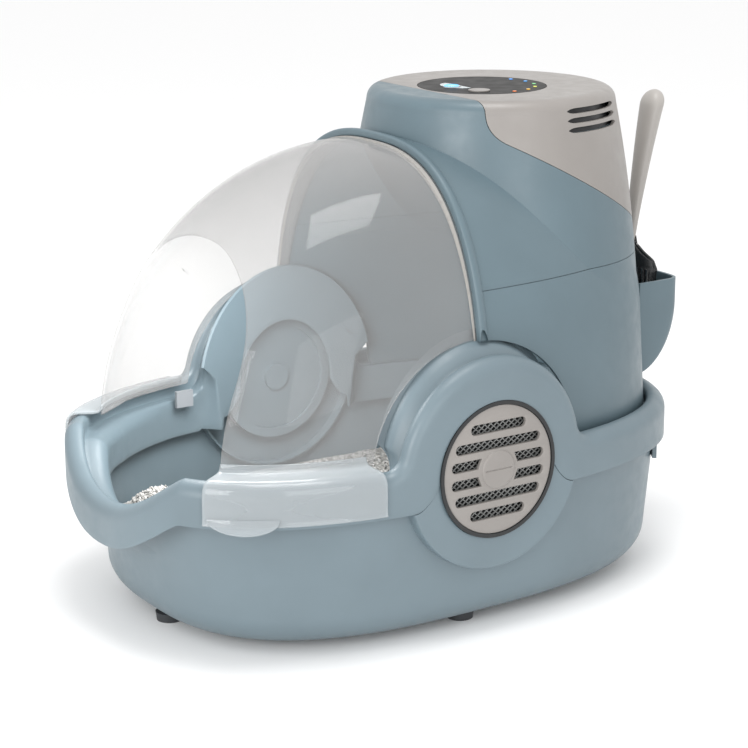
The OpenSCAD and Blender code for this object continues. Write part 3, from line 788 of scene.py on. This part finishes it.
visor_clear = clear_plastic("visor_clear", (0.40, 0.395, 0.39), 0.19, 0.62, (0.05, 0.09))
skirt_clear = clear_plastic("skirt_clear", (0.44, 0.48, 0.50), 0.42, 0.85, (0.08, 0.14))
visor_half_grid = visor_grid()
piece("visor_dome", [(visor_half_grid, False, False), (mirrored(visor_half_grid), False, False)],
      visor_clear, "visor", "visor", inside=(0, 0, 0), wall=2.4, crease=60)

# %% [markdown]
# At the entry's two lower corners the visor spreads into a thick skirt that rides over the
# rolled rim, with a finger tab for lifting it. The skirt is a section carried along the rim.

# %% Visor skirts and finger tabs
skirt_out = 2.8


def skirt_x(y):
    """The plan curve, grown by the skirt's stand-off: how far out the skirt is at a length."""
    share = np.abs(y / (half_length + skirt_out))
    return (half_width + skirt_out) * (1 - share ** plan_power) ** (1 / plan_power)


def skirt_grid():
    """Along: from front to rear. Across: from the dome's foot over the roll and down outside."""
    along = np.linspace(0, 1, 60)[:, None]
    inner_y = -(228 - 114 * along)
    inner_x = visor_x(np.hypot(inner_y, visor_foot))
    outer_y = -(256 - 142 * along)
    outer_x = skirt_x(outer_y)
    section = np.array([(0.0, 22), (0.02, 18.5), (0.08, 16.4), (0.2, 15.6), (0.4, 15.3),
                        (0.6, 15.3), (0.76, 14.9), (0.88, 13.0), (0.955, 9.6), (0.99, 5.2),
                        (1.0, 0.5), (1.0, -8), (1.0, -16), (1.01, -20.5), (1.035, -22.3)])
    part, z = section[:, 0], section[:, 1]
    x = inner_x + (outer_x - inner_x) * part
    y = inner_y + (outer_y - inner_y) * part
    return np.stack([x, y, z + 0 * x], -1)


def tab_grid():
    """A half-moon lip under the skirt's front: it drops and leans out with its outline."""
    along = np.linspace(-1, 1, 41)[:, None]
    drop = np.linspace(0, 1, 9)
    y = -229 - 25 * along
    outline = np.sqrt(np.clip(1 - along ** 2, 0, 1))
    depth = 0.3 + 11.5 * outline * drop
    lean = 0.4 + 6.5 * outline * drop ** 1.4
    return np.stack([skirt_x(y) + 0.8 * lean, y - 0.6 * lean, -15.5 - depth], -1)


for side in ("right", "left"):
    for name, grid, wall in (("visor_skirt_", skirt_grid(), 2.4), ("visor_tab_", tab_grid(), 2)):
        grid = grid if side == "right" else mirrored(grid)
        piece(name + side, [(grid, False, False)], skirt_clear, "visor", (),
              inside=(0, 0, -80), wall=wall, edge=0.6, crease=60)


# %% [markdown]
# Where the visor meets the hood there is a thin pale strip on its rear rim.

# %% Visor strip
def strip_grid():
    """A flat ring section along the visor's rear rim, just proud of the dome's skin."""
    turn = np.radians(np.array([0.4, 0.4, 1.3, 1.3]))[:, None]
    high = np.array([-2.8, 0.6, 0.6, -2.8])[:, None]
    x = 162 * np.sin(np.linspace(-1, 1, 161) * np.pi / 2)
    r = visor_radius(x) + high
    return np.stack([x + 0 * turn, -r * np.sin(turn), r * np.cos(turn)], -1)


strip = moulded("strip_beige", (0.36, 0.345, 0.325), rough=(0.25, 0.36))
piece("visor_strip", [(strip_grid(), True, False)], strip, "visor", (),
      inside=lambda p: p.mean(axis=0), crease=40)

# %% [markdown]
# The scoop hangs in an open pocket on the hood's back. The pocket is straight at its rim and
# bellies in below, so that its section is a quarter of an upright ellipse.

# %% Scoop pocket
pocket_back, pocket_half, pocket_reach, pocket_rim = 262.0, 74.0, 54.0, 108.0
belly_top, belly_depth = 84.0, 66.0


def pocket_grid():
    """Angle round a squarish plan; below the belly's top its reach shrinks as an ellipse's."""
    angle = np.linspace(0, np.pi, 140)
    cx, cy = unit_curve(angle, 9)
    down = np.sin(np.linspace(0, 1, 22) * np.pi / 2) * belly_depth
    z = np.concatenate([np.linspace(pocket_rim, belly_top, 10)[:-1], belly_top - down])
    depth = np.sqrt(np.clip(1 - ((belly_top - np.minimum(z, belly_top)) / belly_depth) ** 2, 0, 1))
    y = pocket_back + pocket_reach * np.maximum(depth, 0.04)[:, None] * cy
    return np.stack([pocket_half * cx + 0 * z[:, None], y, z[:, None] + 0 * cx], -1)


piece("pocket_shell", [(pocket_grid(), False, False)], shaded_hood_blue, "hood", "scoop_holder",
      inside=(0, 262, 80), wall=3, edge=0.8)

# %% [markdown]
# The scoop's handle is one soft bar that leans back and widens to a round tip. It is a loft of
# ovals whose size falls to nothing at both ends, so that the ends close by themselves.

# %% Scoop handle and head
scoop_x, scoop_y, handle_foot = 12.0, 301.0, 134.3


def handle_grid():
    """Ovals along a leaning line: half width 5 to 14, depth seven tenths of it."""
    along = np.concatenate([[0, 0.004, 0.012], np.linspace(0.03, 0.9, 34),
                            1 - 0.1 * (1 - np.sin(np.linspace(0.05, 1, 12) * np.pi / 2))])
    u = along[:, None]
    angle = np.linspace(0, 2 * np.pi, 49)[:-1]
    foot_round = np.sqrt(np.clip(1 - ((0.015 - u) / 0.015) ** 2, 0.0, 1)) * (u < 0.015) \
        + (u >= 0.015)
    tip_round = np.sqrt(np.clip(1 - ((u - 0.9) / 0.1) ** 2, 0.0, 1)) * (u > 0.9) + (u <= 0.9)
    radius = (5 + 9 * u) * foot_round * tip_round
    cx, cy = unit_curve(angle, 2.4)
    x = scoop_x + radius * cx
    y = scoop_y + 26 * u ** 2 + 4 * np.sin(np.pi * u) + 0.7 * radius * cy
    return np.stack([x, y, handle_foot + 149.5 * u + 0 * x], -1)


piece("scoop_handle_bar", [(handle_grid(), False, True)], taupe_pale, "scoop", "scoop_handle",
      inside=lambda p: p.mean(axis=0), crease=60)


def head_grid():
    """A shallow dished blade: its width follows its height, its middle bows to the rear."""
    z = np.concatenate([np.linspace(60.5, 108, 60), np.linspace(109, 133, 24),
                        np.linspace(134, 141, 5)])[:, None]
    width = np.interp(z, [60, 64, 70, 114, 122, 128, 134, 141], [30, 35, 38, 43, 36, 20, 8.2, 5])
    across = np.linspace(-1, 1, 105)
    x = scoop_x + width * across
    dish = np.interp(z, [60, 110, 130, 141], [6, 5.5, 2, 0.5])
    return np.stack([x, scoop_y + 4 - dish * np.abs(across) ** 2.2 + 0 * x, z + 0 * x], -1)


def head_slots(middle):
    """The blade's long slots, as faces to leave out."""
    x, z = middle[:, 0] - scoop_x, middle[:, 2]
    return (np.abs((x + 4) % 8 - 4) < 1.9) & (np.abs(x) < 31) & (z > 67) & (z < 110)


piece("scoop_blade", [(head_grid(), False, False)], scoop_black, "scoop", "scoop_head",
      inside=(scoop_x, 250, 95), wall=1.8, edge=0.3, drop=head_slots)

# %% [markdown]
# Each vent cover is a flat disc with six rows of round-ended slots. A flat curve with holes,
# given a depth and a rounded edge, makes exactly that, and it is turned to face sideways.

# %% Vent covers
cover_r, cover_face, slot_half, hub_r = 58.0, 196.6, 4.5, 21.5


def slot_outline(z, stop, split):
    """A slot with a round outer end at stop. A split one ends at the hub with a slanting end,
    and any other runs on to the same round end on the far side."""
    turn = np.linspace(-np.pi / 2, np.pi / 2, 13)
    outer = np.stack([stop + slot_half * np.cos(turn), z + slot_half * np.sin(turn)], -1)
    if not split:
        return np.concatenate([outer, np.stack([-outer[::-1, 0], outer[::-1, 1]], -1)])
    low = math.sqrt(hub_r ** 2 - (abs(z) - slot_half) ** 2)
    high = math.sqrt(hub_r ** 2 - (abs(z) + slot_half) ** 2)
    ends = (low, high) if z > 0 else (high, low)
    inner = np.array([(ends[1], z + slot_half), (ends[0], z - slot_half)])
    return np.concatenate([outer, inner])


def flat_disc(name, outlines, centre_x, half_depth, bevel, side):
    """A mesh from closed outlines in (length, height): the first filled, the rest holes."""
    curve = bpy.data.curves.new(name, "CURVE")
    curve.dimensions = "2D"
    curve.fill_mode = "BOTH"
    curve.extrude = (half_depth - bevel) * MM
    curve.bevel_depth = bevel * MM
    curve.bevel_resolution = 2
    curve.offset = -bevel * MM
    for outline in outlines:
        line = curve.splines.new("POLY")
        line.points.add(len(outline) - 1)
        flat = np.concatenate([outline * MM, np.zeros((len(outline), 1)),
                               np.ones((len(outline), 1))], axis=1)
        line.points.foreach_set("co", flat.ravel())
        line.use_cyclic_u = True
    shape = bpy.data.objects.new(name, curve)
    bpy.context.scene.collection.objects.link(shape)
    bpy.context.view_layer.update()
    mesh = bpy.data.meshes.new_from_object(
        shape.evaluated_get(bpy.context.evaluated_depsgraph_get()))
    bpy.data.objects.remove(shape)
    points = np.empty(len(mesh.vertices) * 3)
    mesh.vertices.foreach_get("co", points)
    points = points.reshape(-1, 3)
    points = np.stack([side * (points[:, 2] + centre_x * MM), points[:, 0], points[:, 1]], -1)
    mesh.vertices.foreach_set("co", (points + axis_point).ravel())
    closing = bmesh.new()
    closing.from_mesh(mesh)
    bmesh.ops.remove_doubles(closing, verts=closing.verts, dist=0.00001)
    bmesh.ops.recalc_face_normals(closing, faces=closing.faces)
    closing.to_mesh(mesh)
    closing.free()
    mesh.materials.clear()
    return mesh


def circle(radius):
    """A circle as points."""
    turn = np.linspace(0, 2 * np.pi, 128, endpoint=False)
    return np.stack([radius * np.cos(turn), radius * np.sin(turn)], -1)


def grip_grid():
    """The turning grip: a low round button whose height falls at its rim, with a split."""
    r = np.concatenate([np.linspace(0.05, 13.2, 22), np.linspace(13.6, 17.5, 12)])[:, None]
    angle = np.linspace(0, 2 * np.pi, 97)[:-1]
    y, z = r * np.cos(angle), r * np.sin(angle)
    fall = np.clip((r - 15.5) / 2.0, 0, 1)
    height = 1.2 * np.sqrt(1 - fall ** 2) - 0.8 * np.exp(-(z / 0.5) ** 2) * (np.abs(y) < 14)
    return np.stack([cover_face + height, y, z], -1)


outlines = [circle(cover_r)]
for z, stop, split in ((39, 25, False), (23.5, 41, False), (8, 45, True), (-8, 45, True),
                       (-23.5, 41, False), (-39, 25, False)):
    right_slot = slot_outline(z, stop, split)
    outlines.append(right_slot)
    if split:
        outlines.append(right_slot * np.array([-1, 1]))
for side, turn in (("right", 1), ("left", -1)):
    mesh = flat_disc("vent_disc_" + side, outlines, cover_face - 2, 2.0, 0.7, turn)
    dress("vent_disc_" + side, mesh, taupe, "grille_" + side, "vent_cover_" + side,
          crease=40)
    grip = grip_grid() * np.array([turn, 1, 1])
    piece("vent_grip_" + side, [(grip, False, True)], taupe, "grille_" + side, (),
          inside=(turn * 180, 0, 0), crease=30)

# %% [markdown]
# Behind the slots lies a woven wire mesh. Two families of thin bars, leaning opposite ways
# and cut to the disc, show the same small diamonds as the real one.

# %% Wire mesh
def wires(lean, depth, side):
    """Bars of square section across a disc, all leaning the same way."""
    pitch, half, radius = 4.0, 0.45, 55.5
    offset = np.arange(-radius + 1, radius, pitch)
    reach = np.sqrt(radius ** 2 - offset ** 2)
    ux, uz = math.cos(lean), math.sin(lean)
    corner = np.array([(-1, -1), (1, -1), (1, 1), (-1, 1)]) * half
    ends = np.stack([-reach, reach], 0)[:, None, :]
    across = offset + corner[:, 0][None, :, None] + 0 * ends
    x = depth + corner[:, 1][None, :, None] + 0 * ends
    y, z = ends * ux - across * uz, ends * uz + across * ux
    bars = np.stack([side * x, y, z], -1)
    return [(bars[:, :, k], False, True) for k in range(len(offset))]


for side, turn in (("right", 1), ("left", -1)):
    both = wires(math.radians(38), 188.6, turn) + wires(math.radians(-38), 187.9, turn)
    piece("vent_wires_" + side, both, wire_grey, "frame", "vent_mesh_" + side,
          inside=lambda p: p.mean(axis=0))

# %% [markdown]
# Litter is thousands of small sticks. The bed is a gently heaped surface, roughened by noise in
# its shape, and loose granules are strewn over it and over the small pile near the entry. Each
# granule has only a few faces, because there are thousands of them.

# %% Litter
random = np.random.default_rng(7)
litter_z = -97.0


def heap(x, y):
    """Height of the litter: swells, a pile at the entry and a bank along the right side."""
    swell = 4 * np.sin(x / 43 + 1) * np.cos(y / 57) + 2.5 * np.sin(x / 17 + y / 23)
    pile = 34 * np.exp(-((x + 78) / 44) ** 2 - ((y + 186) / 34) ** 2)
    bank = 14 * np.exp(-((x - 150) / 60) ** 2) * np.clip((y + 150) / 200, 0, 1)
    return litter_z + swell + pile + bank


def litter_grid():
    """Rings of the pan's inner curve drawn in to the middle, at the heap's height."""
    share = np.concatenate([[0.004], np.linspace(0.03, 1, 90)])[:, None, None]
    angle = np.linspace(0, 2 * np.pi, 241)[:-1]
    edge = pan_ring(3.4 + 0.078 * 71 + 1.2, litter_z, 0, angle)
    grid = edge[None] * share
    rough = random.normal(0, 0.8, grid.shape[:2])
    top = heap(grid[..., 0], grid[..., 1]) + rough
    grid[..., 2] = np.where(share[..., 0] > 0.985, litter_z, top)
    return grid


def granules(count):
    """Loose sticks: six-sided spindles, each turned at random and dropped on the heap."""
    angle = random.uniform(0, 2 * np.pi, count)
    share = np.sqrt(random.uniform(0, 0.93, count))
    near = random.uniform(0, 1, count) < 0.45
    edge = pan_ring(14, litter_z, 0, angle)
    x = np.where(near, random.normal(-70, 36, count), edge[:, 0] * share)
    y = np.where(near, random.normal(-180, 24, count), edge[:, 1] * share)
    inside = (np.abs(x) / 165) ** 2.4 + (np.abs(y) / 232) ** 2.4 < 1
    x, y, count = x[inside], y[inside], int(inside.sum())
    z = heap(x, y) + 1.2
    long, thick = random.uniform(2.2, 4.6, count), random.uniform(0.7, 1.2, count)
    turn, lean = random.uniform(0, 2 * np.pi, count), random.normal(0, 0.45, count)
    along = np.stack([np.cos(turn) * np.cos(lean), np.sin(turn) * np.cos(lean), np.sin(lean)], -1)
    side = np.stack([-np.sin(turn), np.cos(turn), 0 * turn], -1)
    up = np.cross(along, side)
    ring = np.linspace(0, 2 * np.pi, 7)[:-1]
    middle = np.stack([x, y, z], -1)
    points = []
    for place, size in ((-1, 0.45), (-0.7, 1), (0.7, 1), (1, 0.45)):
        spoke = np.cos(ring)[:, None, None] * side + np.sin(ring)[:, None, None] * up
        points.append(middle + along * (place * long[:, None]) + spoke * (size * thick[:, None]))
    points = np.stack(points)

    def index(row, k):
        """The number of corner k of ring row, for every stick at once."""
        return (row * 6 + k % 6) * count + np.arange(count)

    quads = [np.stack([index(row, k), index(row, k + 1), index(row + 1, k + 1),
                       index(row + 1, k)], -1) for row in range(3) for k in range(6)]
    ends = [np.stack([index(0, k) for k in (0, 5, 4, 3)], -1),
            np.stack([index(0, k) for k in (0, 3, 2, 1)], -1),
            np.stack([index(3, k) for k in (0, 1, 2, 3)], -1),
            np.stack([index(3, k) for k in (0, 3, 4, 5)], -1)]
    return points.reshape(-1, 3), np.concatenate(quads + ends)


def litter_finish(name, low, high):
    """Pale mineral, dull and pitted: each small cell pale in its middle and darker towards its
    edges, which is painted shade in the gaps between granules.
    """
    made, nodes, links, shader = new_material(name)
    cells = nodes.new("ShaderNodeTexVoronoi")
    cells.inputs["Scale"].default_value = 260
    where = nodes.new("ShaderNodeTexCoord")
    links.new(where.outputs["Object"], cells.inputs["Vector"])
    # Pale cell middles and darker cell edges: painted shade between granules.
    links.new(ramp(nodes, links, cells.outputs["Distance"], [(0.1, high), (0.75, low)]),
              shader.inputs["Base Color"])
    shader.inputs["Roughness"].default_value = 0.9
    relief(nodes, links, shader, cells.outputs["Distance"], 0.0016, 0.9)
    return made


litter_cream = litter_finish("litter_cream", (0.34, 0.33, 0.31), (0.68, 0.67, 0.65))
piece("litter_top", [(litter_grid(), False, True)], litter_cream, "base", "litter_bed",
      inside=(0, 0, -400), crease=180)
grain_points, grain_faces = granules(5200)
grain_mesh = bpy.data.meshes.new("litter_granules")
grain_mesh.from_pydata((grain_points * MM + axis_point).tolist(), [], grain_faces.tolist())
dress("litter_granules", grain_mesh, litter_cream, "base", ())
print("granules:", len(grain_faces))

# %% [markdown]
# The control window is a gloss black disc. Round the power button lies a pale half moon, and
# along its right edge a row of small lit marks runs from red through yellow and green to blue.

# %% Window details
button_x, button_y, button_hole = -7, panel_y - 30, 8.5
moon_half, moon_drop, moon_x, moon_y = 20, 15.5, 3, -10


def half_moon_grid():
    """A raised half moon with the button's hole in it: on every ray from the button's middle,
    the outline is the nearer of a straight edge and half an ellipse. The button's middle is at
    moon_x, moon_y from the ellipse's, so the ellipse's distance solves a square equation."""
    turn = np.linspace(0, 2 * np.pi, 121)[:-1]
    c, s = np.cos(turn), np.sin(turn)
    a = (c / moon_half) ** 2 + (s / moon_drop) ** 2
    b = 2 * (moon_x * c / moon_half ** 2 + moon_y * s / moon_drop ** 2)
    k = (moon_x / moon_half) ** 2 + (moon_y / moon_drop) ** 2 - 1
    oval = (-b + np.sqrt(b ** 2 - 4 * a * k)) / (2 * a)
    straight = np.where(s > 0.05, -moon_y / np.maximum(s, 0.05), 99)
    outer = np.maximum(np.minimum(oval, straight), button_hole)
    reach = button_hole + (outer - button_hole) * np.linspace(0, 1, 4)[:, None]
    x, y = button_x + reach * c, button_y + reach * s
    return np.stack([x, y, tower_top + 0.35 + 0 * y], -1)


half_moon = moulded("half_moon", (0.42, 0.47, 0.49), rough=(0.2, 0.3), coat=0.4)
piece("half_moon_plate", [(half_moon_grid(), False, True)], half_moon, "cap", (),
      inside=(-10, 115, 250), wall=0.35)


def lit(name, colours, strength):
    """Lit plastic whose colour runs with the angle round the window's middle."""
    made, nodes, links, shader = new_material(name)
    where = nodes.new("ShaderNodeTexCoord")
    centred = nodes.new("ShaderNodeVectorMath")
    centred.operation = "SUBTRACT"
    centred.inputs[1].default_value = (0, panel_y * MM + axis_point[1], 0)
    parts = nodes.new("ShaderNodeSeparateXYZ")
    turn = nodes.new("ShaderNodeMath")
    turn.operation = "ARCTAN2"
    scale = nodes.new("ShaderNodeMapRange")
    scale.inputs["From Min"].default_value = -0.1
    scale.inputs["From Max"].default_value = 2.0
    links.new(where.outputs["Object"], centred.inputs[0])
    links.new(centred.outputs[0], parts.inputs[0])
    links.new(parts.outputs["Y"], turn.inputs[0])
    links.new(parts.outputs["X"], turn.inputs[1])
    links.new(turn.outputs[0], scale.inputs["Value"])
    colour = ramp(nodes, links, scale.outputs["Result"], colours)
    links.new(colour, shader.inputs["Base Color"])
    links.new(colour, shader.inputs["Emission Color"])
    shader.inputs["Emission Strength"].default_value = strength
    shader.inputs["Roughness"].default_value = 0.25
    relief(nodes, links, shader, noise(nodes, links, 900), 0.00005, 0.3)
    return made


level_lights = lit("level_lights", [(0.0, (0.7, 0.12, 0.04)), (0.2, (0.75, 0.4, 0.05)),
                                    (0.4, (0.6, 0.6, 0.08)), (0.6, (0.12, 0.5, 0.2)),
                                    (0.8, (0.08, 0.3, 0.8)), (1.0, (0.1, 0.35, 0.9))], 0.35)
ring_blue = lit("ring_blue", [(0.0, (0.12, 0.42, 0.85)), (1.0, (0.12, 0.42, 0.85))], 0.6)


def ring_grid(x, y, r, width, z):
    """A small ring with a round top, from its middle line and its width."""
    turn = np.linspace(0, 2 * np.pi, 65)[:-1]
    section = np.linspace(0, np.pi, 9)[:, None]
    reach = r + width / 2 * np.cos(section)
    return np.stack([x + reach * np.cos(turn), y + reach * np.sin(turn),
                     z + width / 2 * np.sin(section) + 0 * turn], -1)


power_ring = ring_grid(button_x, button_y, 6.4, 1.5, tower_top + 0.9)
piece("power_ring", [(power_ring, False, True)], ring_blue, "power_key", (),
      inside=lambda p: p.mean(axis=0))

# %% [markdown]
# The remaining frame pieces already have their true shape: screws, fan, housings, latches.
# They keep their meshes and only get a finish.

# %% Finishes for the frame's own pieces
finish_of = {
    "shell_plastic": shell_blue, "trim_plastic": taupe, "foot_rubber": foot_rubber,
    "gasket_rubber": dark_rubber, "filter_foam": foam_black, "mesh_black": fan_black,
    "fan_black": fan_black, "steel": screw_steel, "panel_gloss": panel_black,
    "board_green": board_green, "light_blue": level_lights, "button_pale": button_pale,
    "clip_plastic": clip_grey, "scoop_metal": scoop_black, "litter": litter_cream,
    "visor_clear": visor_clear,
}
for part in frame["record"]["subparts"]:
    carried = frame["nodes"][part["node"]]
    for place in range(len(carried.material_slots)):
        carried.material_slots[place].material = finish_of[part["material_slot"]]
    if not carried.material_slots:
        carried.data.materials.append(finish_of[part["material_slot"]])

# %% [markdown]
# A plain pale floor, and broad soft lights above, in front and on the right, as in a studio
# where the object is meant to stand on white with only a soft shadow under it. A small light
# inside the hood, which the camera doesn't see, lifts the shade there.

# %% Floor and light
floor_mesh = bpy.data.meshes.new("floor")
reach = 6.0
floor_mesh.from_pydata([(-reach, -reach, 0), (reach, -reach, 0), (reach, reach, 0),
                        (-reach, reach, 0)], [], [(0, 1, 2, 3)])
floor = bpy.data.objects.new("floor", floor_mesh)
bpy.context.scene.collection.objects.link(floor)
floor_white, _, _, floor_shader = new_material("floor_white")
floor_shader.inputs["Base Color"].default_value = (0.93, 0.93, 0.93, 1)
floor_shader.inputs["Roughness"].default_value = 0.9
floor_mesh.materials.append(floor_white)


def area_light(name, place, target, size, power):
    """A square soft light at a place, turned to face a target; metres and watts."""
    data = bpy.data.lights.new(name, "AREA")
    data.size = size
    data.energy = power
    made = bpy.data.objects.new(name, data)
    made.location = place
    turn = np.array(target) - np.array(place)
    made.rotation_euler = (math.atan2(math.hypot(turn[0], turn[1]), -turn[2]), 0,
                           math.atan2(turn[1], turn[0]) - math.pi / 2)
    bpy.context.scene.collection.objects.link(made)
    return made


area_light("top", (0.3, -0.1, 2.0), (0.05, 0, 0.2), 0.8, 15)
area_light("front", (1.1, -2.4, 0.9), (0, 0, 0.15), 1.2, 30)
area_light("side", (2.6, -0.5, 0.7), (0, 0, 0.1), 1.2, 12)
cabin_fill = area_light("cabin_fill", (0.02, -0.17, 0.31), (-0.08, -0.1, 0.05), 0.14, 1.3)
cabin_fill.visible_camera = False
world = bpy.data.worlds.new("studio")
world.use_nodes = True
world.node_tree.nodes["Background"].inputs["Color"].default_value = (1, 1, 1, 1)
world.node_tree.nodes["Background"].inputs["Strength"].default_value = 1.03
bpy.context.scene.world = world
bpy.context.scene.view_settings.view_transform = "Standard"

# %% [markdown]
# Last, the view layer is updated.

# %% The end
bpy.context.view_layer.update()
